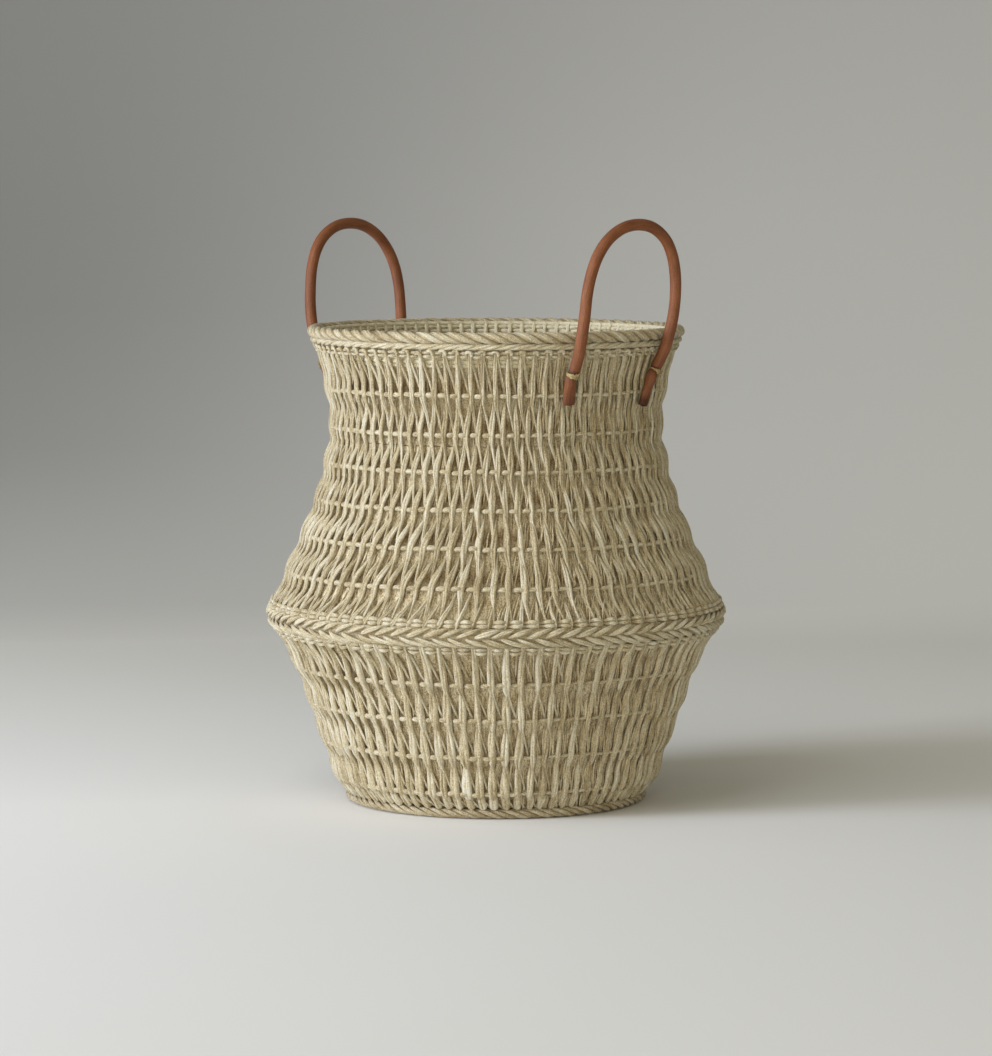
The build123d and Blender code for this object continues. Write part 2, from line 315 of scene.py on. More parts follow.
def grass(name, dark, mid, light, painted_shade_color, rough=0.60, bump=0.5, fine=1.0, pith=(0.34, 0.26, 0.13), grainy=0.95):
    """Dry grass strand: fibres along the strand, a fine grain, a tone for each strand, and painted shade that darkens
    it where it lies deep or goes under.
    """
    m, nt, bsdf = new_material(name)
    fib = node(nt, "ShaderNodeAttribute", attribute_name="fib").outputs["Vector"]
    tone = node(nt, "ShaderNodeAttribute", attribute_name="tone").outputs["Fac"]
    painted_shade = node(nt, "ShaderNodeAttribute", attribute_name="painted_shade").outputs["Fac"]
    coarse = noise(nt, scaled(nt, fib, 0.80 * fine, 0.80 * fine, 0.06), 1.0, 3.0, 0.6)
    fibre = noise(nt, scaled(nt, fib, 1.9 * fine, 1.9 * fine, 0.22), 1.0, 3.0, 0.65)
    hair = noise(nt, scaled(nt, fib, 5.0 * fine, 5.0 * fine, 0.6), 1.0, 2.0, 0.6)
    blotch = noise(nt, scaled(nt, fib, 0.25, 0.25, 0.09), 1.0, 3.0, 0.6)
    speck = noise(nt, scaled(nt, fib, 1.25, 1.25, 0.85), 1.0, 2.0, 0.6)
    hue = noise(nt, scaled(nt, fib, 0.7, 0.7, 0.35), 1.0, 2.0, 0.6)
    f = maths(nt, "ADD", maths(nt, "MULTIPLY", coarse, 0.50), maths(nt, "MULTIPLY", fibre, 0.50))
    f = maths(nt, "ADD", f, maths(nt, "MULTIPLY", maths(nt, "SUBTRACT", hair, 0.5), 0.20))
    f = maths(nt, "ADD", f, maths(nt, "MULTIPLY", maths(nt, "SUBTRACT", speck, 0.5), grainy))
    f = maths(nt, "ADD", f, maths(nt, "MULTIPLY", maths(nt, "SUBTRACT", tone, 0.5), 0.40))
    f = maths(nt, "ADD", f, maths(nt, "MULTIPLY", maths(nt, "SUBTRACT", blotch, 0.5), 0.40))
    col = ramp(nt, [(0.24, dark), (0.48, mid), (0.76, light)], f)
    tint = ramp(nt, [(0.35, (0.95, 0.99, 1.10)), (0.65, (1.05, 1.0, 0.90))], hue)
    col = mix(nt, 0.8, col, tint, "MULTIPLY")
    spot = maths(nt, "MULTIPLY", maths(nt, "SUBTRACT", speck, 0.60), 5.0, clamp=True)
    col = mix(nt, maths(nt, "MULTIPLY", spot, 0.28), col, pith)
    # painted shade: the per-point shade value multiplies the colour towards the shade colour
    col = mix(nt, maths(nt, "MULTIPLY", painted_shade, 1.0, clamp=True), col, painted_shade_color, "MULTIPLY")
    nt.links.new(col, bsdf.inputs["Base Color"])
    r = maths(nt, "ADD", maths(nt, "MULTIPLY", fibre, 0.28), rough - 0.14)
    nt.links.new(r, bsdf.inputs["Roughness"])
    bsdf.inputs["Specular IOR Level"].default_value = 0.5
    bsdf.inputs["Sheen Weight"].default_value = 0.15
    bsdf.inputs["Sheen Roughness"].default_value = 0.5
    h = maths(nt, "ADD", maths(nt, "MULTIPLY", coarse, 1.0), maths(nt, "MULTIPLY", fibre, 0.9))
    h = maths(nt, "ADD", h, maths(nt, "MULTIPLY", hair, 0.3))
    h = maths(nt, "ADD", h, maths(nt, "MULTIPLY", speck, 0.6 + grainy * 0.5))
    b = nt.nodes.new("ShaderNodeBump")
    b.inputs["Strength"].default_value = bump
    b.inputs["Distance"].default_value = 0.0010
    nt.links.new(h, b.inputs["Height"])
    nt.links.new(b.outputs["Normal"], bsdf.inputs["Normal"])
    return m


STRAW = dict(dark=(0.25, 0.183, 0.082), mid=(0.525, 0.440, 0.258), light=(0.745, 0.705, 0.570), painted_shade_color=(0.62, 0.52, 0.36))
# painted shade: the upper wall's straw is a darker copy of STRAW
STRAW_UP_PAINTED_SHADE = dict(dark=(0.226, 0.163, 0.071), mid=(0.474, 0.394, 0.226), light=(0.685, 0.645, 0.515), painted_shade_color=(0.60, 0.50, 0.34))
mat_front_up_painted_shade = grass("seagrass_front_upper_painted_shade", bump=0.7, **STRAW_UP_PAINTED_SHADE)
mat_front = grass("seagrass_front", bump=0.7, **STRAW)
mat_back = grass("seagrass_thin", dark=(0.28, 0.205, 0.095), mid=(0.55, 0.465, 0.28), light=(0.765, 0.725, 0.59),
                 painted_shade_color=(0.58, 0.48, 0.32), fine=1.3)
mat_loose = grass("seagrass_loose", dark=(0.23, 0.16, 0.068), mid=(0.48, 0.385, 0.205), light=(0.77, 0.70, 0.51),
                  painted_shade_color=(0.58, 0.46, 0.30), fine=1.4)
mat_weft = grass("seagrass_weft", dark=(0.25, 0.182, 0.080), mid=(0.500, 0.415, 0.240), light=(0.705, 0.660, 0.525),
                 painted_shade_color=(0.52, 0.42, 0.27), fine=1.1, bump=0.7)
mat_rope = grass("seagrass_rope", dark=(0.26, 0.19, 0.083), mid=(0.520, 0.440, 0.266), light=(0.745, 0.705, 0.565),
                 painted_shade_color=(0.45, 0.36, 0.21), bump=0.7)
mat_foot = grass("seagrass_foot", dark=(0.21, 0.145, 0.060), mid=(0.480, 0.392, 0.222), light=(0.720, 0.665, 0.500),
                 painted_shade_color=(0.34, 0.25, 0.14), bump=0.8)
# painted light: a lighter copy of the straw for the ladder inside the rim
mat_ladder_painted_light = grass("seagrass_ladder_painted_light", dark=(0.36, 0.27, 0.14), mid=(0.65, 0.55, 0.325), light=(0.83, 0.77, 0.57),
                   painted_shade_color=(0.60, 0.49, 0.30), fine=1.1, bump=0.7)
mat_inner = grass("seagrass_inner", dark=(0.20, 0.13, 0.055), mid=(0.50, 0.385, 0.20), light=(0.86, 0.78, 0.56),
                  painted_shade_color=(0.44, 0.34, 0.21), rough=0.8, bump=0.9, pith=(0.12, 0.07, 0.028), grainy=1.35)

# ------------------------------------------------------------------ outer weave
# Phase of the strand crossings at each row, in pitches. Strand T leans one way and lies on top, strand S runs
# from each crossing to the next crossing on, underneath.
N_UP, N_LOW = 88, 84
UP_Z = np.array([392.0, 381.0, 349.5, 317.6, 288.0, 257.6, 227.2, 196.0, 172.0, 164.5])
UP_SHIFT = np.array([0.0, 0.0, -0.12, -0.50, -0.92, -1.42, -2.32, -3.30, -4.35, -4.55])
LOW_Z = np.array([153.0, 144.5, 115.2, 84.6, 52.7, 20.9, 7.0])
LOW_SHIFT = np.array([0.0, 0.02, 0.10, 0.14, 0.10, 0.16, 0.30])


def phase(z, zs, shifts):
    """Smooth path of a crossing's phase down the wall; it runs straight through each row."""
    z = np.asarray(z, float)
    out = np.zeros_like(z)
    for k in range(len(zs) - 1):
        hi, lo = zs[k], zs[k + 1]
        inside = (z <= hi) & (z >= lo)
        t = (hi - z[inside]) / (hi - lo)
        e = 0.45 * t + 0.55 * (t * t * (3 - 2 * t))
        out[inside] = shifts[k] + (shifts[k + 1] - shifts[k]) * e
    out[z > zs[0]] = shifts[0]
    out[z < zs[-1]] = shifts[-1]
    return out


def row_wave(z, rows, width):
    """1 at a row, falling to 0 away from it."""
    z = np.asarray(z, float)[:, None]
    return np.exp(-0.5 * ((z - np.asarray(rows)[None]) / width) ** 2).max(1)


def wobble(n, size, smooth=6):
    w = rng.normal(0, 1, n + 2 * smooth)
    k = np.hanning(2 * smooth + 1)
    k /= np.sqrt((k ** 2).sum())
    return np.convolve(w, k, mode="same")[smooth:-smooth] * size


def smooth(lo, hi, x):
    t = np.clip((np.asarray(x, float) - lo) / (hi - lo), 0, 1)
    return t * t * (3 - 2 * t)


def messy(phi):
    """How ragged the weave is at an angle round the basket, 0 to 1."""
    deg = np.degrees(np.asarray(phi, float))
    out = 0.0
    for mid, half, amp in ((4.0, 40.0, 1.0), (122.0, 20.0, 0.7), (214.0, 25.0, 0.8)):
        off = np.abs((deg - mid + 180.0) % 360.0 - 180.0)
        out = np.maximum(out, amp * (1 - smooth(half - 8.0, half + 8.0, off)))
    return out


def sweep_side(phi):
    """1 where the leaves come down from the right, 0 where they come down from the left."""
    beta = (math.degrees(phi) + 45.4 + 180.0) % 360.0 - 180.0
    return float(np.interp(beta, [-150.0, -32.0, -22.0, -10.0, 1.0, 9.0, 20.0, 140.0, 180.0],
                           [1.0, 1.0, 0.95, 0.74, 0.46, 0.27, 0.08, 0.0, 1.0]))


def lattice(prefix, count, zs, shifts, rows, nodes, z_top, z_low, leaf_w, leg_w, turn, depth0, fat, parts=2):
    """One stretch of the wall. At every crossing a strand comes down over the cord as a leaf-shaped bundle of grass,
    runs straight for a little, then leaves to the other side as a thin leg that ends under the next row's leaves.
    Strands share their path end to end: each piece here is the leaf of one row and the leg of the next."""
    fronts = [Bundle() for _ in range(parts)]
    loose = [Bundle() for _ in range(2 if prefix == "upper" else 1)]
    pitch = TAU / count
    marks = [z_top] + list(rows) + [z_low]
    sh = [float(phase([z], zs, shifts)[0]) for z in marks]
    last = len(marks) - 1
    jit = rng.normal(0, 0.040, (len(marks), count))
    for k in range(-1, last):
        for j in range(count):
            ragged = float(messy((j + sh[max(k, 0)]) * pitch))
            t_leaf = np.array([0.06, 0.17, 0.28, 0.40, 0.52, 0.64, 0.76, 0.88, 1.0])
            t_leg = np.array([0.10, 0.20, 0.30, 0.42, 0.55, 0.68, 0.80, 0.91, 1.0])
            ph, z, depth, wid, thick, painted_shade = [], [], [], [], [], []
            wide, narrow, leg0, leg1 = leaf_w[k + 1]
            wide = wide * (1 - (0.10 if prefix == "upper" else 0.27) * ragged)
            if k >= 0:                                     # leaf, from row k down to row k + 1
                t = t_leaf
                top = k == 0
                if top:
                    t = np.concatenate([[0.0], t])
                go = smooth(0.10 if not top else 0.0, 1.02, t) * 0.45 + 0.55 * np.clip((t - 0.08) / 0.92, 0, 1)
                g = sweep_side((j + sh[k + 1]) * pitch)
                back = (sh[k] - sh[k + 1]) * g + turn[k] * (1 - g)
                ph.append(j + sh[k + 1] + back * (1 - go) + jit[k, j] * (1 - t) + jit[k + 1, j] * t)
                z.append(marks[k] + (marks[k + 1] - marks[k]) * t)
                if top:
                    depth.append(depth0 + 0.15 - 0.15 * t)
                    w = narrow + (wide - narrow) * smooth(0.25, 0.75, t)
                    painted_shade.append(0.0 * t)
                else:
                    depth.append(depth0 + 2.4 * (1 - smooth(0.02, 0.34, t)) + 0.35 * (1 - smooth(0.3, 0.9, t)))
                    w = narrow + (wide - narrow) * smooth(0.14, 0.72, t)
                    # painted shade: the leaf is darker where it comes out from under the row
                    painted_shade.append(0.55 * (1 - smooth(0.10, 0.42, t)))
                wid.append(w)
                thick.append(np.minimum(fat, w * 0.75))
            if k + 1 < last:                               # leg, from row k + 1 down to row k + 2
                t = t_leg if k >= 0 else np.concatenate([[0.0], t_leg])
                w_node = wide if k >= 0 else leg0 * 1.2
                go = np.clip((t - 0.16) / 0.84, 0, 1)
                go = 0.75 * go + 0.25 * smooth(0, 1, go)
                side = leg_w[k + 1]
                g = sweep_side((j + sh[k + 1]) * pitch)
                on = (sh[k + 2] - sh[k + 1] + 1 - side) * g + min(0.45 - turn[k + 1] * 0.3, 0.6) * (1 - g)
                if prefix == "lower":
                    on = sh[k + 2] - sh[k + 1] + 1 - side
                ph.append(j + sh[k + 1] + on * go + jit[k + 1, j] * (1 - t) + jit[k + 2, (j + 1) % count] * t)
                z.append(marks[k + 1] + (marks[k + 2] - marks[k + 1]) * t)
                w = leg1 + (leg0 - leg1) * (1 - smooth(0.10, 0.9, t)) + (w_node - leg0) * (1 - smooth(0.0, 0.36, t))
                wid.append(w)
                thick.append(np.minimum(fat, w * 0.85))
                base = depth0 if k >= 0 else depth0 + 0.45
                depth.append(base + 0.45 * smooth(0.2, 0.8, t) + 2.0 * smooth(0.78, 1.0, t))
                # painted shade: the leg is darker where it goes under the next row
                painted_shade.append(0.55 * smooth(0.72, 0.98, t))
            ph, z, depth, wid, thick, painted_shade = [np.concatenate(q) for q in (ph, z, depth, wid, thick, painted_shade)]
            n = len(z)
            if k + 1 == last or k == 0:                    # rounded ends at the rim, the braid and the foot
                ends = np.ones(n)
                if k == 0:
                    ends = ends * np.sqrt(np.clip(1 - np.clip((z - (z_top - 3.2)) / 3.3, 0, 1) ** 2, 0.05, 1))
                if k + 1 == last:
                    ends = ends * np.sqrt(np.clip(1 - np.clip(((z_low + 3.0) - z) / 3.1, 0, 1) ** 2, 0.05, 1))
            else:
                ends = 1.0
            wid = wid * (1 + 0.07 * rng.normal() + wobble(n, 0.035, 3)) * ends
            thick = thick * ends
            ph = ph + wobble(n, 0.012 + 0.018 * ragged, 3)
            depth = depth + wobble(n, 0.08, 3)
            tone = 0.5 + 0.10 * rng.normal() + wobble(n, 0.05, 3)
            psi = rng.uniform(0, TAU) + rng.choice([-1, 1]) * rng.uniform(0.02, 0.05) * (z[0] - z)
            for i in range(3):
                q = psi + i * TAU / 3
                side = np.cos(q) * wid * 0.46
                deeper = -np.sin(q) * 0.42 * thick
                pos, nor = wall(ph * pitch, z, depth + deeper)
                tan = np.gradient(pos, axis=0)
                tan /= np.linalg.norm(tan, axis=1, keepdims=True)
                pos = pos + np.cross(tan, nor) * side[:, None]
                r = wid * (0.57 + 0.03 * rng.normal())
                # painted shade: the sub-strand lying deepest is darker
                fronts[j * parts // count].tube(
                    pos, nor, r, np.minimum(thick, r * 1.1), sides=6, tone=np.clip(tone + 0.13 * rng.normal(), 0, 1),
                    twist=rng.normal(0.0, 0.01), ridge=0.05,
                    painted_shade=np.clip(painted_shade + 0.22 * np.clip(-np.sin(q), 0, 1), 0, 1))
    # Loose grass that fills the gaps behind, and comes forward where the weave is ragged; painted shade of random
    # strength darkens it
    m = 7
    for j in range(int(count * last * 9.0)):
        k = rng.integers(0, last)
        hi, lo = marks[k], marks[k + 1]
        t0 = rng.uniform(0.0, 0.45)
        t = np.linspace(t0, min(1.0, t0 + rng.uniform(0.4, 0.95)), m)
        z = hi + (lo - hi) * t
        p0 = rng.uniform(0, count)
        ragged = float(messy(p0 * pitch))
        if rng.random() > 0.22 + 0.78 * ragged:
            continue
        ph = p0 + 0.6 * phase(z, zs, shifts) + rng.normal(0.05, 0.15) * t + wobble(m, 0.025, 3)
        dpt = rng.uniform(3.4, 4.8) - 1.9 * ragged * rng.random()
        pos, nor = wall(ph * pitch, z, dpt + wobble(m, 0.15, 3))
        w = rng.uniform(0.45, 1.05) * np.clip(np.sin(np.linspace(0.25, math.pi - 0.25, m)), 0.2, 1)
        loose[j % len(loose)].tube(pos, nor, w, w * 0.7, sides=5, tone=rng.uniform(0.1, 0.95),
                                   painted_shade=rng.uniform(0.0, 0.5))
    for i, f in enumerate(fronts):
        f.build(f"{prefix}_strands_{i + 1}", mat_front_up_painted_shade if prefix == "upper" else mat_front, nodes)
    for i, b in enumerate(loose):
        b.build(f"{prefix}_loose_grass_{i + 1}", mat_loose)


# Half widths in mm for each row: leaf at its widest, leaf at its start, leg at its start and end
UP_ROWS = [349.5, 317.6, 288.0, 257.6, 227.2, 196.0]
LOW_ROWS = [115.2, 84.6, 52.7, 20.9]
UP_W = [(2.30, 1.85, 1.35, 1.15), (2.35, 1.80, 1.50, 1.10), (2.45, 1.0, 1.55, 1.10), (2.60, 1.0, 1.65, 1.10),
        (2.80, 1.0, 1.85, 1.10), (2.95, 1.0, 1.95, 1.10), (3.00, 1.0, 1.95, 1.20), (2.15, 1.0, 1.7, 1.1)]
LOW_W = [(3.20, 2.60, 1.25, 0.95), (3.35, 2.70, 1.35, 0.90), (3.70, 2.1, 1.40, 0.85), (3.95, 2.2, 1.40, 0.85),
         (4.15, 2.3, 1.40, 0.85), (4.10, 4.0, 1.4, 0.9)]
lattice("upper", N_UP, UP_Z, UP_SHIFT, UP_ROWS, ("neck_wall_outer", "shoulder_wall_outer"), 388.6, 164.6, UP_W,
        [0.14] * 7, (-0.10, -0.05, -0.15, -0.30, -0.42, -0.42, -0.40), 2.40, 1.45, parts=3)
lattice("lower", N_LOW, LOW_Z, LOW_SHIFT, LOW_ROWS, ("lower_wall_outer",), 150.2, 7.4, LOW_W,
        [0.30] * 5, (-0.05, 0.0, 0.0, 0.0, 0.0), 2.65, 1.80, parts=2)

# ------------------------------------------------------------------ weft cords
def weft(name, z0, count, shift, node_name):
    """A cord that shows as a pale bump just before each strand and dips behind it."""
    b = Bundle()
    per = 18
    n = count * per
    u = np.arange(n) / per
    f = (u - shift) % 1.0                       # 0 or 1 at a strand, just under 1 is its left side
    up = smooth(0.16, 0.52, f)
    down = np.clip((1.10 - f) / 0.24, 0, 1)
    near = np.where(f < 0.10, np.clip((0.10 - f) / 0.24, 0, 1), np.minimum(up, down))
    amp = 1.0 + np.repeat(rng.normal(0, 0.09, count), per)
    calm = messy(u * TAU / count)
    amp = amp * (1 - (0.60 if z0 > 157.0 else 0.85) * calm)
    depth = 5.4 - 3.15 * near * amp - 0.9 * calm
    rad = 1.0 + 1.12 * near * (0.4 + 0.6 * amp)
    z = z0 + np.repeat(rng.normal(0, 0.30, count), per) + 0.9 * near - 0.5
    k = np.ones(5) / 5
    z = np.convolve(np.concatenate([z[-2:], z, z[:2]]), k, mode="valid")
    depth = np.convolve(np.concatenate([depth[-2:], depth, depth[:2]]), k, mode="valid")
    pos, nor = wall(u * TAU / count, z, depth)
    tone = np.clip(0.47 + 0.10 * np.repeat(rng.normal(0, 1, count), per), 0, 1)
    # painted shade: the cord is darker where it dips behind the strands
    b.tube(pos, nor, rad, rad * 0.95, sides=9, loop=True, ridge=0.06, tone=tone, twist=0.18,
           painted_shade=np.clip(0.70 - 1.0 * near, 0, 1))
    return b.build(name, mat_weft, (node_name,))


for i, z in enumerate(UP_ROWS):
    weft(f"weft_cord_{i + 1:02d}", z, N_UP, float(phase([z], UP_Z, UP_SHIFT)[0]), f"weft_ring_{i + 1:02d}")
for i, z in enumerate(LOW_ROWS):
    weft(f"weft_cord_{i + 7:02d}", z, N_LOW, float(phase([z], LOW_Z, LOW_SHIFT)[0]), f"weft_ring_{i + 7:02d}")

# ------------------------------------------------------------------ inner weave
def inner_wall(name, z_top, z_low, nodes):
    """The finer grass layer: rough upright fibres outside, twined rows round short pegs inside."""
    cols = 704
    z = np.arange(z_top, z_low - 0.01, -1.35)
    rows = len(z)
    th = np.arange(cols) * TAU / cols
    Z, T = np.meshgrid(z, th, indexing="ij")
    r_s = np.interp(Z, ZS, RS_SMOOTH)
    r_l = np.interp(Z, ZS, RS)
    s = np.interp(Z, ZS, SLOPE)
    n = np.hypot(1, s)
    base = np.minimum(r_s - 6.2 * n, r_l - 4.7 * n)
    u = T / TAU
    rough = rng.normal(0, 1, (rows, cols))
    kv = np.hanning(9)[:, None]
    kv = kv / np.sqrt((kv ** 2).sum())
    from_rows = np.apply_along_axis(lambda c: np.convolve(c, kv[:, 0], mode="same"), 0, rough)
    streak = from_rows * 0.28
    out_r = base + streak + 0.25 * np.sin(u * TAU * 176) * np.cos(Z * 0.9)
    fib_o = np.stack([T * 150.0, np.full_like(T, 3.0), Z], -1)
    # painted shade: the outer face is darkened just above each weft row and towards the foot
    shade = np.zeros_like(Z)
    for row in UP_ROWS + LOW_ROWS:
        shade = np.maximum(shade, np.exp(-(((Z - row - 8.0) / 6.0) ** 2)) * (0.80 if row > 157.0 else 0.45))
    shade = np.maximum(shade, np.clip((19.0 - Z) / 7.0, 0, 1) * 0.85)
    tone_o, painted_shade_o = 0.66 + 0.22 * from_rows - 0.25 * shade, np.clip(shade + 0.10 * from_rows, 0, 1)
    # twined rows inside
    pegs = 86
    row_h = 5.4
    f = Z / row_h
    kk = np.floor(f)
    v = f - kk
    sgn = np.where(kk % 2 == 0, 1.0, -1.0)
    wave = np.cos(u * TAU * pegs + np.pi * (kk % 2))
    hump = np.sqrt(np.clip(np.sin(v * math.pi), 0, 1))
    bulge = hump * (0.75 + 0.75 * wave)
    in_r = base - 1.9 - 1.15 * bulge + 0.05 * rough
    twill = (u * 420.0)
    fib_i = np.stack([v * row_h + kk * 17.0, np.full_like(T, 9.0), T * 140.0 + kk * 31.0], -1)
    # painted shade: the inner face is darker in the hollows between the twined rows
    tone_i, painted_shade_i = 0.55 + 0.12 * wave + 0.05 * rough, np.clip(0.75 - 0.8 * bulge, 0, 1) * 0.8
    outer = np.stack([out_r * np.cos(T), out_r * np.sin(T), Z], -1)
    inner = np.stack([in_r * np.cos(T), in_r * np.sin(T), Z], -1)
    parts = 2 if rows > 90 else 1
    cuts = np.linspace(0, rows - 1, parts + 1).astype(int)
    for q in range(parts):
        b = Bundle()
        own = slice(cuts[q], cuts[q + 1] + 1)
        b.grid(outer[own], tone=tone_o[own], painted_shade=painted_shade_o[own], fib=fib_o[own])
        b.grid(inner[own], tone=tone_i[own], painted_shade=painted_shade_i[own], fib=fib_i[own], flip=True)
        # close top and bottom edges between the two faces, painted darker as shade
        for k, fl in ((cuts[q], True), (cuts[q + 1], False)):
            edge = np.stack([outer[k], inner[k]])
            b.grid(edge, tone=0.4, painted_shade=0.4, fib=edge.copy(), flip=fl)
        b.build(f"{name}_{q + 1}", mat_inner, nodes, slot="inner_weave")


inner_wall("inner_weave_neck", 395.0, 308.0, ("neck_wall_inner",))
inner_wall("inner_weave_shoulder", 308.0, 157.0, ("shoulder_wall_inner",))
inner_wall("inner_weave_lower", 157.0, 9.0, ("lower_wall_inner",))

# ------------------------------------------------------------------ ropes and braids
def rope(name, radius, z, tube_r, tube_h, plies, turns, hand, material, nodes, ply=0.56, per=9, lean=0.0, flat_low=None,
         tone0=0.55, core=0.0):
    """A ring of plies laid round each other. radius and z in mm, turns is how often each ply goes round the ring's line."""
    b = Bundle()
    n = int(turns * per * 1.6)
    # painted shade: the core is painted dark, and the plies a little darker
    if core:
        th = np.arange(n) * TAU / n
        ring = np.stack([radius * np.cos(th), radius * np.sin(th), np.full(n, z)], -1)
        b.tube(ring, np.stack([np.cos(th), np.sin(th), 0 * th], -1), tube_h * core, tube_r * core, sides=12, loop=True,
               tone=0.3, painted_shade=0.9, ridge=0.04)
    for p in range(plies):
        # one ply runs round the ring and ends where it began
        th = np.arange(n) * TAU / n
        ang = hand * (th * turns) + p * TAU / plies
        off_r = np.cos(ang) * tube_r * (1 - ply)
        off_z = np.sin(ang) * tube_h * (1 - ply)
        if flat_low is not None:
            off_z = np.maximum(off_z, flat_low)
        pr = tube_r * ply
        ph_ = tube_h * ply
        rr = radius + off_r + lean * off_z
        pos = np.stack([rr * np.cos(th), rr * np.sin(th), z + off_z], -1)
        nor = np.stack([np.cos(ang) * np.cos(th), np.cos(ang) * np.sin(th), np.sin(ang)], -1)
        lumps = 1 + 0.05 * np.convolve(rng.normal(0, 1, n), np.hanning(9) / 2.0, mode="same")
        tone = np.clip(tone0 + 0.10 * rng.normal() + 0.10 * np.convolve(
            rng.normal(0, 1, n), np.hanning(15) / 3.0, mode="same"), 0, 1)
        b.tube(pos, nor, pr * 1.10 * lumps, ph_ * lumps, sides=12, loop=True, ridge=0.05, tone=tone,
               twist=-0.05 * hand, painted_shade=np.clip((0.05 if not core else 0.12) + 0.0 * ang, 0, 1))
    return b.build(name, material, nodes)


def wrapped_rim(name, radius, z, tube_r, tube_h, wraps, turns, nodes):
    """Rim: a core of grass with stout strands wound round it side by side, so its edge is scalloped."""
    b = Bundle()
    n = 900
    th = np.arange(n) * TAU / n
    nor = np.stack([np.cos(th), np.sin(th), np.zeros(n)], -1)
    pos = np.stack([radius * np.cos(th), radius * np.sin(th), np.full(n, z)], -1)
    # painted shade: the core is painted dark
    b.tube(pos, nor, tube_h - 2.3, tube_r - 2.3, sides=16, loop=True, tone=0.4, painted_shade=0.6, ridge=0.04)
    per = 17
    n = turns * per
    lead = TAU * radius / turns
    for p in range(wraps):
        th = np.arange(n) * TAU / n
        ang0 = -(th * turns) + p * TAU / wraps
        shift = 0.10 * np.convolve(rng.normal(0, 1, n), np.hanning(25) / 3.5, mode="same")
        tone_p = np.convolve(rng.normal(0, 1, n), np.hanning(19) / 3.2, mode="same")
        fat = 1 + 0.07 * np.convolve(rng.normal(0, 1, n), np.hanning(21) / 3.3, mode="same")
        # each wrap is four thinner strands lying side by side; the two outer ones carry painted shade
        for k in range(4):
            ang = ang0 + shift
            along = (-4.20, -1.60, 1.60, 4.20)[k] / radius
            lift = (-0.25, 0.38, 0.30, -0.50)[k]
            rr, hh = tube_r - 1.98 + lift, tube_h - 1.98 + lift
            t2 = th + along
            pos = np.stack([(radius + np.cos(ang) * rr) * np.cos(t2), (radius + np.cos(ang) * rr) * np.sin(t2),
                            z + np.sin(ang) * hh], -1)
            nor = np.stack([np.cos(ang) * np.cos(t2), np.cos(ang) * np.sin(t2), np.sin(ang)], -1)
            b.tube(pos, nor, 1.55 * fat, 1.50 * fat, sides=8, loop=True, ridge=0.05,
                   tone=np.clip(0.54 + 0.10 * rng.normal() + 0.11 * tone_p, 0, 1), twist=0.04,
                   painted_shade=(0.42, 0.0, 0.10, 0.80)[k])
    return b.build(name, mat_rope, nodes)


wrapped_rim("rim_rope", 153.9, 397.7, 5.5, 5.15, 3, 24, ("rim_braid",))
rope("rim_under_rope", 154.3, 390.7, 2.8, 2.65, 3, 29, 1, mat_rope, ("rim_under_braid",), ply=0.47)
rope("foot_rope", 122.9, 4.45, 5.1, 4.25, 4, 19, -1, mat_foot, ("foot_braid",), ply=0.335, lean=0.15, core=0.58,
     tone0=0.50)


def rim_hooks():
    """Under the rim each front strand's top curls back over the twined rows in a small hook."""
    b = Bundle()
    m = 13
    t = np.linspace(0, 1, m)
    for j in range(N_UP):
        c0 = float(phase([385.0], UP_Z, UP_SHIFT)[0]) + j
        size = 1.0 + 0.10 * rng.normal()
        a = np.radians(-40 + 235 * t)
        du = (-1.5 + 2.3 * np.cos(a)) * size
        dz = 2.2 * np.sin(a) * size
        z = 384.6 + 0.5 * rng.normal() + dz
        phi = c0 * TAU / N_UP + du / 152.0
        depth = 1.1 - 0.9 * np.sin(np.clip(t * math.pi, 0, math.pi)) + 1.8 * t ** 4
        pos, nor = wall(phi, z, depth)
        w = 1.45 * (0.85 + 0.25 * np.sin(t * math.pi)) * (1 + 0.06 * rng.normal())
        # painted shade: the hook darkens as it curls back under
        b.tube(pos, nor, w, w * 0.95, sides=8, ridge=0.05, tone=np.clip(0.54 + 0.12 * rng.normal(), 0, 1),
               painted_shade=np.clip(0.35 * t, 0, 1))
    return b.build("rim_hooks", mat_rope)


rim_hooks()


def grains(name, z_pair, count, shift, material, nodes, r=1.35, depth0=3.9, rise=2.4, offset=0.0):
    """Twined rows: stacked cords that come out between the strands and go behind them."""
    b = Bundle()
    per = 12
    n = count * per
    u = np.arange(n) / per
    for i, z0 in enumerate(z_pair):
        s = shift + 0.5 + offset * (1 if i else -1)
        near = 0.5 + 0.5 * np.cos((u - s) * TAU)
        amp = 1 + np.repeat(rng.normal(0, 0.12, count), per)
        k = np.ones(5) / 5
        amp = np.convolve(np.concatenate([amp[-2:], amp, amp[:2]]), k, mode="valid")
        depth = depth0 - rise * near ** 0.8 * amp
        z = z0 + (0.35 if i == 0 else -0.35) * near
        rad = r * (0.72 + 0.34 * near)
        pos, nor = wall(u * TAU / count, z, depth)
        tone = np.clip(0.54 + 0.14 * np.repeat(rng.normal(0, 1, count), per), 0, 1)
        # painted shade: the cord is darker where it goes behind the strands
        b.tube(pos, nor, rad, rad * 0.95, sides=8, loop=True, ridge=0.06, tone=tone, twist=0.25,
               painted_shade=np.clip(0.75 - 0.95 * near, 0, 1))
    return b.build(name, material, nodes)


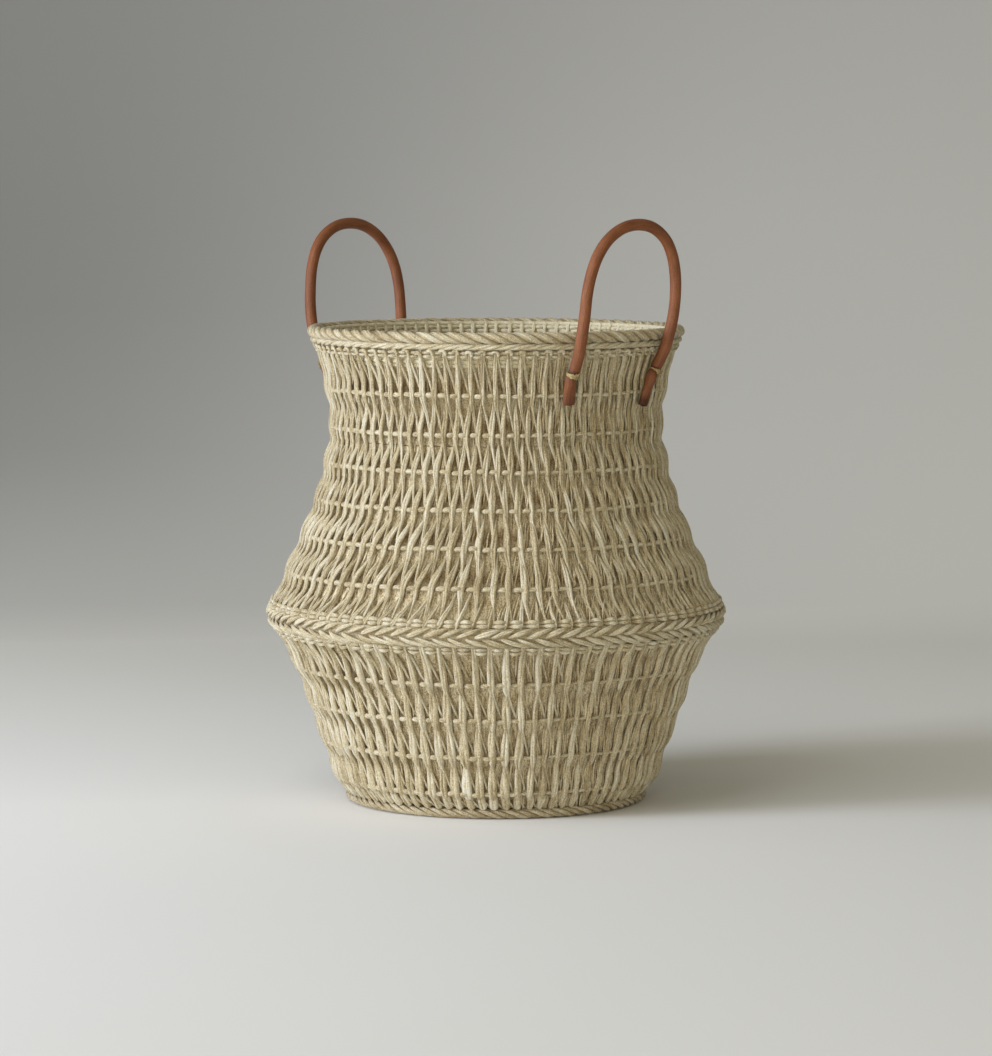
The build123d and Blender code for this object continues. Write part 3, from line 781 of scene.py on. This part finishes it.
grains("rim_twined_rows", (384.9, 382.2), N_UP, float(phase([383.0], UP_Z, UP_SHIFT)[0]), mat_weft, ("rim_twine",),
       depth0=3.4, rise=1.7, r=1.35)
grains("belly_twined_rows_upper", (170.6, 167.7), N_UP, float(phase([171.0], UP_Z, UP_SHIFT)[0]), mat_rope,
       ("belly_twine_upper",), depth0=3.6, rise=2.5, r=1.75)
grains("belly_twined_rows_lower", (147.0, 144.2), N_LOW, float(phase([144.5], LOW_Z, LOW_SHIFT)[0]), mat_rope,
       ("belly_twine_lower",), depth0=3.4, rise=2.4, r=1.65)


def belly():
    """Flat braid round the widest line. Each strand pair starts under its neighbours on the middle line and runs out
    to the edge, one pair up and one down, so that they make nested arrowheads."""
    b = Bundle()
    count = 85
    pitch = TAU / count
    m = 15
    t = np.linspace(0, 1, m)
    for i in range(count):
        for up in (1, -1):
            jit = rng.normal(0, 0.04)
            span = (1.50 if up > 0 else 1.95) + 0.05 * rng.normal()
            reach = (8.6 if up > 0 else 8.0) + 0.3 * rng.normal()
            tone = 0.54 + 0.10 * rng.normal()
            fat = 1 + 0.07 * rng.normal()
            body = np.sin(np.clip(0.06 + 0.90 * t ** 0.8, 0, 1) * math.pi) ** 0.6
            psi = rng.uniform(0, TAU) + 1.4 * t
            for k in range(3):
                q = psi + k * TAU / 3
                across = np.cos(q) * (0.95 if up > 0 else 1.05) * body * fat
                deeper = -np.sin(q) * 0.55 * body
                ph = i + jit + (0.0 if up > 0 else 0.5) + span * t
                z = 157.0 + up * (0.2 + reach * t ** (0.95 if up > 0 else 0.85)) + across * 0.97
                ph = ph - up * across * 0.30 / 14.3
                depth = 1.5 - 1.75 * np.sin(t * math.pi) ** 0.8 + 2.0 * t ** 5 + 1.3 * (1 - t) ** 6 + deeper
                pos, nor = wall(ph * pitch, z, depth)
                w = (1.15 if up > 0 else 1.24) * body * fat * (1 + 0.05 * rng.normal())
                # painted shade: the strands are darker at their tucked ends and on the deepest ply
                b.tube(pos, nor, w, w, sides=8, ridge=0.05, tone=np.clip(tone + 0.12 * rng.normal(), 0, 1),
                       painted_shade=np.clip(0.35 - 0.6 * body + 0.2 * np.clip(-np.sin(q), 0, 1), 0, 1))
    # backing cord so that nothing shows through, painted darker as shade
    n = 640
    th = np.arange(n) * TAU / n
    for z0 in (151.5, 157.0, 162.5):
        pos, nor = wall(th, np.full(n, z0), np.full(n, 4.1))
        b.tube(pos, nor, 3.4, 2.2, sides=8, loop=True, tone=0.45, painted_shade=0.45, ridge=0.05)
    return b.build("belly_plait", mat_rope, ("belly_braid",))


belly()


def rim_inside():
    """Ladder inside the rim: fine rows round the wall and the folded ends of the strands as short pegs over them."""
    b = Bundle()
    n = 720
    th = np.arange(n) * TAU / n
    # painted light: the rows and the pegs sit at the light end of the tone
    for z0, r0 in ((397.8, 147.6), (394.6, 147.0), (391.3, 146.4), (388.0, 145.9), (384.7, 145.4), (381.4, 144.9), (378.1, 144.5), (374.8, 144.1)):
        w = 0.35 * np.cos(th * 86 + z0)
        pos = np.stack([(r0 + w) * np.cos(th), (r0 + w) * np.sin(th), np.full(n, z0)], -1)
        nor = -np.stack([np.cos(th), np.sin(th), np.zeros(n)], -1)
        b.tube(pos, nor, 1.95, 1.7, sides=8, loop=True, ridge=0.05, tone=0.95 + 0.08 * np.cos(th * 86), painted_shade=0.0,
               twist=0.2)
    m = 10
    for j in range(86):
        ph = (j + rng.normal(0, 0.03)) * TAU / 86
        z = np.linspace(399.2, 375.0, m)
        t = np.linspace(0, 1, m)
        r = 144.1 - 0.9 * t + 3.4 * (1 - t) ** 5 + 2.0 * t ** 8 + wobble(m, 0.08, 3)
        ang = ph + wobble(m, 0.0015, 3) + 0.004 * t
        pos = np.stack([r * np.cos(ang), r * np.sin(ang), z], -1)
        nor = -np.stack([np.cos(ang), np.sin(ang), np.zeros(m)], -1)
        b.tube(pos, nor, 1.75 * (1 + 0.08 * rng.normal()), 1.0, sides=8, ridge=0.05,
               tone=np.clip(0.82 + 0.12 * rng.normal(), 0, 1))
    return b.build("rim_inside_ladder", mat_ladder_painted_light)


rim_inside()


def base_coil():
    """Coiled base: one cord wound round and round, stitched every few millimetres."""
    b = Bundle()
    turns = 19.0
    r0, r1 = 3.0, 114.6
    n = 5200
    t = np.linspace(0, 1, n) ** 0.5
    r = r0 + (r1 - r0) * t
    # even spacing of turns
    ang = TAU * turns * (r - r0) / (r1 - r0)
    bead = 0.22 * np.cos(ang * 34 * (0.3 + r / r1))
    z = np.full(n, 4.3)
    pos = np.stack([r * np.cos(ang), r * np.sin(ang), z], -1)
    nor = np.stack([np.zeros(n), np.zeros(n), np.ones(n)], -1)
    # painted shade: the coil is darkened a little
    b.tube(pos, nor, 3.15 + bead, 2.25 + bead * 0.6, sides=7, ridge=0.04, tone=0.5 + 0.6 * bead, twist=0.25, painted_shade=0.1)
    # disc that closes the gaps between the turns, a dark sheet of painted shade
    cols = 128
    th = np.arange(cols) * TAU / cols
    for zz, fl in ((4.0, False),):
        rad = np.array([0.5, 117.0])
        grid = np.stack([np.stack([q * np.cos(th), q * np.sin(th), np.full(cols, zz)], -1) for q in rad])
        b.grid(grid, tone=0.3, painted_shade=0.8, fib=grid.copy(), flip=fl)
    return b.build("base_coil", mat_inner, ("base_panel",), slot="inner_weave")


base_coil()

# ------------------------------------------------------------------ leather handles
def leather(name):
    m, nt, bsdf = new_material(name)
    fib = node(nt, "ShaderNodeAttribute", attribute_name="fib").outputs["Vector"]
    painted_shade = node(nt, "ShaderNodeAttribute", attribute_name="painted_shade").outputs["Fac"]
    obj = node(nt, "ShaderNodeTexCoord").outputs["Object"]
    cloud = noise(nt, obj, 38.0, 3.0, 0.6)
    grain = node(nt, "ShaderNodeTexVoronoi", feature="DISTANCE_TO_EDGE")
    grain.inputs["Scale"].default_value = 950.0
    nt.links.new(obj, grain.inputs["Vector"])
    pores = noise(nt, obj, 1500.0, 2.0, 0.6)
    streak = noise(nt, scaled(nt, fib, 0.9, 0.9, 0.06), 1.0, 3.0, 0.65)
    mottle = noise(nt, obj, 900.0, 2.0, 0.6)
    f = maths(nt, "ADD", maths(nt, "MULTIPLY", cloud, 0.35), maths(nt, "MULTIPLY", streak, 0.40))
    f = maths(nt, "ADD", f, maths(nt, "MULTIPLY", mottle, 0.25))
    col = ramp(nt, [(0.30, (0.095, 0.0275, 0.0100)), (0.50, (0.190, 0.064, 0.0225)), (0.70, (0.320, 0.124, 0.0475))], f)
    edge = maths(nt, "MULTIPLY", maths(nt, "SUBTRACT", 0.035, grain.outputs["Distance"]), 16.0, clamp=True)
    col = mix(nt, maths(nt, "MULTIPLY", edge, 0.35), col, (0.10, 0.028, 0.013))
    # painted shade: the shade value multiplies the leather colour towards a dark brown
    col = mix(nt, maths(nt, "MULTIPLY", painted_shade, 1.0, clamp=True), col, (0.30, 0.22, 0.20), "MULTIPLY")
    nt.links.new(col, bsdf.inputs["Base Color"])
    nt.links.new(maths(nt, "ADD", maths(nt, "MULTIPLY", cloud, 0.22), 0.42), bsdf.inputs["Roughness"])
    bsdf.inputs["Specular IOR Level"].default_value = 0.32
    b = nt.nodes.new("ShaderNodeBump")
    b.inputs["Strength"].default_value = 0.30
    b.inputs["Distance"].default_value = 0.0004
    h = maths(nt, "ADD", maths(nt, "MULTIPLY", grain.outputs["Distance"], 6.0, clamp=True),
              maths(nt, "MULTIPLY", pores, 0.5))
    nt.links.new(h, b.inputs["Height"])
    nt.links.new(b.outputs["Normal"], bsdf.inputs["Normal"])
    return m


mat_leather = leather("leather_tan")
mat_twine = grass("waxed_twine", dark=(0.10, 0.065, 0.022), mid=(0.36, 0.26, 0.10), light=(0.62, 0.52, 0.26),
                  painted_shade_color=(0.3, 0.22, 0.12), rough=0.5, fine=2.0)
HANDLE_DEG = 2.9
HINGE_RHO, HINGE_Z = 149.0, 371.0
BOWS = {
    "right": [
        (-50.3, HINGE_RHO, HINGE_Z), (-50.7, 154.6, 383.6), (-52.0, 159.4, 397.8), (-51.5, 162.4, 415.0),
        (-50.6, 164.1, 432.0), (-47.5, 165.6, 448.5), (-41.6, 167.0, 463.6), (-31.4, 168.2, 476.6),
        (-15.4, 168.7, 486.0), (2.0, 168.8, 489.0), (19.4, 168.7, 486.2), (34.2, 168.2, 476.6),
        (43.2, 167.0, 463.6), (48.2, 165.6, 448.5), (50.2, 164.1, 432.0), (49.6, 162.4, 415.0),
        (47.6, 159.5, 398.4), (45.6, 155.0, 384.0), (42.8, HINGE_RHO, HINGE_Z)],
    "left": [
        (-47.5, HINGE_RHO, HINGE_Z), (-50.8, 154.6, 383.6), (-54.2, 159.6, 398.0), (-55.7, 162.2, 415.0),
        (-55.1, 163.8, 432.0), (-51.7, 165.4, 448.2), (-44.6, 166.8, 462.5), (-33.2, 168.0, 474.8),
        (-16.8, 168.6, 483.4), (1.2, 168.7, 486.1), (19.2, 168.6, 483.5), (35.0, 168.0, 475.0),
        (45.6, 166.8, 463.2), (52.2, 165.4, 448.6), (55.7, 163.8, 432.0), (57.5, 162.2, 415.0),
        (57.3, 159.6, 398.0), (55.2, 154.6, 383.6), (52.5, HINGE_RHO, HINGE_Z)],
}
TAIL_TILT = {("right", -1): (4.0, 0.0), ("right", 1): (-11.5, 4.2), ("left", -1): (-4.0, 1.0), ("left", 1): (5.0, 0.5)}
TAIL_SHIFT = {("right", -1): 2.8, ("right", 1): 5.4, ("left", -1): 1.5, ("left", 1): -1.5}     # mm to the side
TAIL_TOP_Z, TAIL_LOW_R, TAIL_LEN, TAIL_W = 365.9, 149.0, 23.4, 10.5


def spline(points, n, closed=False):
    """Smooth curve through points, evenly spaced."""
    p = np.asarray(points, float)
    d = np.concatenate([[0], np.cumsum(np.linalg.norm(np.diff(p, axis=0), axis=1) ** 0.5)])
    out = []
    tang = np.gradient(p, d, axis=0)
    for k in range(len(p) - 1):
        h = d[k + 1] - d[k]
        t = np.linspace(0, 1, 24, endpoint=(k == len(p) - 2))[:, None]
        h00, h10 = 2 * t ** 3 - 3 * t ** 2 + 1, t ** 3 - 2 * t ** 2 + t
        h01, h11 = -2 * t ** 3 + 3 * t ** 2, t ** 3 - t ** 2
        out.append(h00 * p[k] + h10 * h * tang[k] + h01 * p[k + 1] + h11 * h * tang[k + 1])
    c = np.concatenate(out)
    s = np.concatenate([[0], np.cumsum(np.linalg.norm(np.diff(c, axis=0), axis=1))])
    q = np.linspace(0, s[-1], n)
    return np.stack([np.interp(q, s, c[:, i]) for i in range(3)], -1)


def turn_z(p, deg):
    r = math.radians(deg)
    c, s = math.cos(r), math.sin(r)
    return np.stack([p[..., 0] * c - p[..., 1] * s, p[..., 0] * s + p[..., 1] * c, p[..., 2]], -1)


def tail_frame(u, tilt):
    """Top of a tail in the handle's own frame, with its outward, sideways and downward directions."""
    top_r = math.hypot(HINGE_RHO, u) - 0.7
    top_z = TAIL_TOP_Z - abs(math.sin(math.radians(tilt))) * TAIL_W / 2
    lean = math.asin((top_r - TAIL_LOW_R) / TAIL_LEN)
    t = math.radians(tilt)
    down = np.array([-math.cos(t) * math.sin(lean), math.sin(t), -math.cos(t) * math.cos(lean)])
    outw = np.array([math.cos(lean), 0.0, -math.sin(lean)])
    sidew = np.cross(down, outw)
    az = math.degrees(math.atan2(u, HINGE_RHO))
    return [turn_z(v, az) for v in (np.array([top_r, 0.0, top_z]), outw, sidew, down)]


def handle(side, angle):
    """One length of round leather: a tail, the bow, the other tail. It bends over at the lashings."""
    pts = [np.array([rho, u, z]) for u, rho, z in BOWS[side]]
    frames = [tail_frame(pts[k][1], TAIL_TILT[(side, sg)][0]) for k, sg in ((0, -1), (-1, 1))]
    lens = [TAIL_LEN + TAIL_TILT[(side, sg)][1] for sg in (-1, 1)]
    slips = [TAIL_SHIFT[(side, sg)] for sg in (-1, 1)]
    ends = []
    for (top, outw, sidew, down), length, slip in zip(frames, lens, slips):
        top = top + sidew * slip
        ends.append([top + down * (length * f) for f in (1.0, 0.82, 0.62, 0.42, 0.22)] + [top + down * 1.2])
    line = ends[0] + pts + ends[1][::-1]
    c = spline(line, 300)
    cum = np.concatenate([[0], np.cumsum(np.linalg.norm(np.diff(c, axis=0), axis=1))])
    out = np.tile([1.0, 0.0, 0.0], (len(c), 1))
    lowest = np.minimum(cum, cum[-1] - cum)                  # way along from the nearer cut end
    first = np.arange(len(c)) < len(c) // 2
    length = np.where(first, lens[0], lens[1])
    k = np.arange(len(c))
    for i, q in enumerate((first, ~first)):
        w = np.clip((length + 14.0 - lowest) / 12.0, 0, 1)[:, None]
        out = np.where(q[:, None], out * (1 - w) + frames[i][1][None] * w, out)
    even = 4.75 * (1 + 0.012 * np.sin(k * 0.13 + (0.5 if side == "right" else 2.0)) + 0.008 * np.sin(k * 0.053))
    pinch = np.exp(-0.5 * ((lowest - (length + 2.9)) / 2.3) ** 2)
    flat = smooth(0.0, 7.0, length - 5.5 - lowest)
    hw = even * (1 - 0.13 * pinch) + 0.50 * flat
    ht = even * (1 - 0.15 * pinch) - 1.25 * flat
    cut = np.clip(lowest / 0.9, 0, 1)
    hw, ht = hw * (0.90 + 0.10 * cut), ht * (0.88 + 0.12 * cut)
    # painted shade: darker where the lashing pinches the leather and towards the cut ends, most on the right handle's
    # back tail
    dark = 0.85 * pinch + 0.45 * smooth(16.0, 0.0, lowest) * (1.0 if side == "right" else 0.6)
    if side == "right":
        dark = dark + np.where(first, 0.0, 0.75 * smooth(13.0, 0.0, lowest))
    b = Bundle()
    b.tube(turn_z(c, angle), turn_z(out, angle), hw, ht, sides=28, tone=0.5, twist=0.01,
           painted_shade=np.clip(dark, 0, 1), seed=12.0)
    ob = b.build(f"handle_{side}_leather", mat_leather, (
        f"handle_{side}_bow", f"handle_{side}_tail_front", f"handle_{side}_tail_back"), slot="leather", body=None)
    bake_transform(ob)
    for i, (leg, sign) in enumerate((("front", -1), ("back", 1)) if side == "right" else (("back", -1), ("front", 1))):
        top, outw, sidew, down = frames[i]
        top = top + sidew * (slips[i] * 0.42) - down * 5.2
        w = Bundle()
        n = 150
        th = np.linspace(0.3, 0.3 + TAU * 3.1, n)
        at = 2.35 + 1.45 * ((th - th[0]) / (th[-1] - th[0]) * 2 - 1) + 0.22 * np.sin(th + 1.0)
        ra, rb = 4.15 + 0.45, 4.20 + 0.45
        ring = top + down * at[:, None] + outw * (ra * np.cos(th))[:, None] + sidew * (rb * np.sin(th))[:, None]
        nn = outw * np.cos(th)[:, None] + sidew * np.sin(th)[:, None]
        w.tube(turn_z(ring, angle), turn_z(nn, angle), 0.72, 0.64, sides=8, tone=0.45, twist=0.9, ridge=0.08)
        to_back = 1.0 if float(sidew[1]) > 0 else -1.0
        # painted shade: the knot loops and the loose ends are darkened a little
        for kx in range(3):
            tt = np.linspace(0, TAU * 0.98, 34)
            mid = top + down * (2.1 + 0.8 * kx) + outw * (4.7 + 0.15 * kx) + sidew * (to_back * (2.4 - 0.7 * kx))
            loop_ = mid + outw * (0.7 * np.cos(tt))[:, None] + sidew * (1.45 * np.sin(tt + kx))[:, None] + down * (
                1.15 * np.sin(tt * 2 + kx * 1.6))[:, None]
            w.tube(turn_z(loop_, angle), turn_z(np.tile(outw, (len(tt), 1)), angle), 0.60, 0.60, sides=7, tone=0.45,
                   painted_shade=0.2, twist=0.9)
        for kx, (da, ds) in enumerate(((4.6, 2.6), (3.4, -1.2))):
            q = np.linspace(0, 1, 12)[:, None]
            stub = top + down * (2.6 + da * q) + outw * (5.0 - 0.9 * q ** 2) + sidew * (to_back * (2.6 + ds * q ** 1.5))
            w.tube(turn_z(stub, angle), turn_z(np.tile(outw, (12, 1)), angle), 0.5, 0.46, sides=7, tone=0.4,
                   painted_shade=0.25, twist=0.9)
        w.build(f"handle_{side}_lashing_{leg}_twine", mat_twine, (f"handle_{side}_lashing_{leg}",), slot="twine")
    return ob


handle("right", -HANDLE_DEG)
handle("left", 180 + HANDLE_DEG)

# ------------------------------------------------------------------ studio
def to_world(right, back, up):
    """A place given from the camera's side: right of the object, behind it and up, in metres."""
    return (right * math.cos(a) - back * math.sin(a), right * math.sin(a) + back * math.cos(a), up)


def sweep_floor():
    """Pale floor that curves up into the backdrop behind the object. Its colour carries painted light and shade: the
    backdrop is painted darker towards the top and the left, the floor lighter behind the object.
    """
    prof = []
    for y in np.linspace(-4.5, 1.15, 24):
        prof.append((y, 0.0))
    rad = 1.5
    for t in np.linspace(0, math.pi / 2, 40)[1:]:
        prof.append((1.15 + rad * math.sin(t), rad * (1 - math.cos(t))))
    for z in np.linspace(rad, 6.0, 10)[1:]:
        prof.append((1.15 + rad, z))
    xs = np.concatenate([np.linspace(-7.0, -1.6, 8), np.linspace(-1.5, 1.5, 31), np.linspace(1.6, 7.0, 8)])
    cum = np.concatenate([[0], np.cumsum(np.hypot(*np.diff(np.array(prof), axis=0).T))])
    verts, faces, shade = [], [], []
    for x in xs:
        for (y, z), s in zip(prof, cum):
            verts.append(to_world(x, y, z))
            # painted light and shade: the paper's colour is scaled by a gradient from left to right and along the paper
            drift = float(np.interp(s, [5.6, 5.9, 6.36, 6.9, 7.3], [0.0, 0.08, 0.22, 0.12, 0.0]))
            wide = float(np.interp(s, [5.6, 5.9, 6.36, 6.86, 7.2], [0.55, 0.50, 0.40, 0.42, 0.55]))
            side = 0.5 + 0.5 * math.tanh((x + drift) / wide)
            shade.append((1 - side) * np.interp(s, PAPER_AT, PAPER_LEFT) + side * np.interp(s, PAPER_AT, PAPER_RIGHT))
    n = len(prof)
    for k in range(len(xs) - 1):
        for i in range(n - 1):
            faces.append((k * n + i, (k + 1) * n + i, (k + 1) * n + i + 1, k * n + i + 1))
    me = bpy.data.meshes.new("studio_floor")
    me.from_pydata(verts, [], faces)
    me.polygons.foreach_set("use_smooth", np.ones(len(faces), bool))
    at = me.attributes.new("shade", "FLOAT", "POINT")
    at.data.foreach_set("value", np.array(shade, np.float32))
    m, nt, bsdf = new_material("studio_paper")
    tone = node(nt, "ShaderNodeAttribute", attribute_name="shade").outputs["Fac"]
    nt.links.new(ramp(nt, [(0.0, (0.0, 0.0, 0.0)), (1.0, (0.845, 0.843, 0.826))], tone), bsdf.inputs["Base Color"])
    bsdf.inputs["Roughness"].default_value = 0.9
    bsdf.inputs["Specular IOR Level"].default_value = 0.1
    # The paper has one side only, so that it doesn't hide the object from behind or from below
    side_of = nt.nodes.new("ShaderNodeNewGeometry").outputs["Backfacing"]
    clear, both = nt.nodes.new("ShaderNodeBsdfTransparent"), nt.nodes.new("ShaderNodeMixShader")
    end = next(q for q in nt.nodes if q.type == "OUTPUT_MATERIAL")
    nt.links.new(side_of, both.inputs[0])
    nt.links.new(bsdf.outputs["BSDF"], both.inputs[1])
    nt.links.new(clear.outputs["BSDF"], both.inputs[2])
    nt.links.new(both.outputs["Shader"], end.inputs["Surface"])
    me.materials.append(m)
    ob = bpy.data.objects.new("studio_floor", me)
    bpy.context.scene.collection.objects.link(ob)
    return ob


# Distance along the paper from its front edge, in metres, and its painted light and shade at the left and right of the
# set
PAPER_AT = [0.0, 3.2, 3.99, 4.37, 4.79, 5.16, 5.65, 5.89, 6.36, 6.68, 6.97, 7.22, 9.0]
PAPER_LEFT = [0.765, 0.765, 0.86, 0.98, 1.15, 1.18, 0.97, 0.69, 0.39, 0.335, 0.34, 0.345, 0.33]
PAPER_RIGHT = [0.875, 0.875, 0.96, 0.955, 0.93, 1.03, 1.18, 1.03, 0.905, 0.835, 0.775, 0.725, 0.67]
sweep_floor()


def area(name, right, back, up, size, power, target, color=(1, 1, 1), size_y=None):
    d = bpy.data.lights.new(name, "AREA")
    d.energy = power
    d.color = color
    d.shape = "RECTANGLE"
    d.size = size
    d.size_y = size_y or size
    ob = bpy.data.objects.new(name, d)
    bpy.context.scene.collection.objects.link(ob)
    ob.location = to_world(right, back, up)
    aim = Vector(to_world(*target)) - Vector(ob.location)
    ob.rotation_euler = aim.to_track_quat("-Z", "Y").to_euler()
    return ob


area("key", -2.3, -1.0, 0.78, 0.9, 57.5, (0.0, 0.0, 0.2), (0.94, 1.0, 1.15), 1.1)
area("top_soft", -1.15, -1.4, 2.4, 2.0, 25.0, (0.0, 0.2, 0.0), (0.98, 1.0, 1.02))
area("front_low", -0.1, -2.6, 0.30, 1.6, 20.0, (0.0, 0.0, 0.10), (1.0, 0.95, 0.80), 0.6)
world = bpy.data.worlds.new("studio")
bpy.context.scene.world = world
world.use_nodes = True
bg = world.node_tree.nodes["Background"]
bg.inputs["Color"].default_value = (1.0, 0.935, 0.71, 1)
bg.inputs["Strength"].default_value = 0.285
bpy.context.scene.view_settings.view_transform = "Standard"
